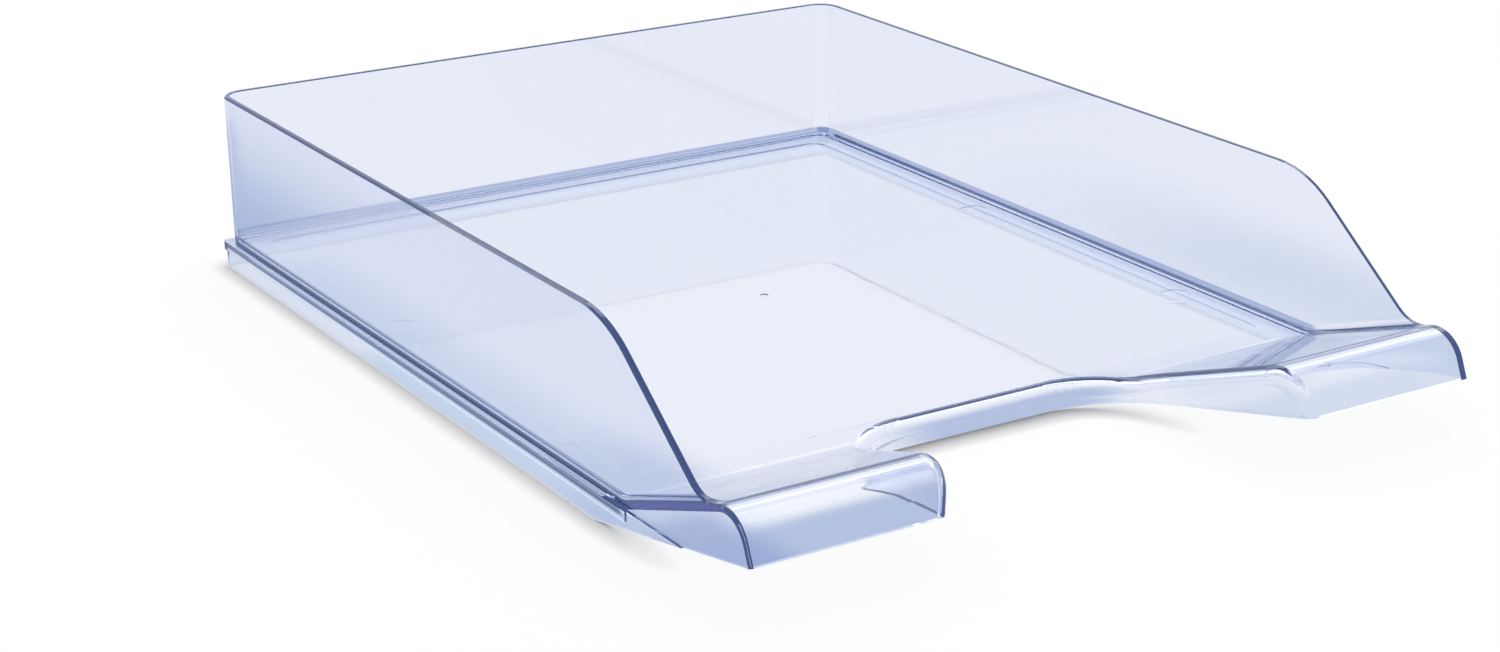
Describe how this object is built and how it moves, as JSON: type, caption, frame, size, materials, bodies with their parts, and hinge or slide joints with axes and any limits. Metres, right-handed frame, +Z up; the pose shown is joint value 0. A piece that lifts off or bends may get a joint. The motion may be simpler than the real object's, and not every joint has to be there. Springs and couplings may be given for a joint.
{
  "type": "letter tray",
  "caption": "Open-front clear plastic letter tray: low walls on a stacking skirt, a ramp that rolls over into handles, and a finger cut-out between them.",
  "frame": {"origin": "middle of the footprint, on the table", "axes": "+Z up, front with the handles towards -Y, +X to the right seen from the front"},
  "size_m": [0.2536, 0.3458, 0.0622],
  "materials": {
    "clear_blue_plastic": "clear pale blue, polished"
  },
  "bodies": {
    "root": {"letter_tray": "clear_blue_plastic"}
  },
  "joints": []
}
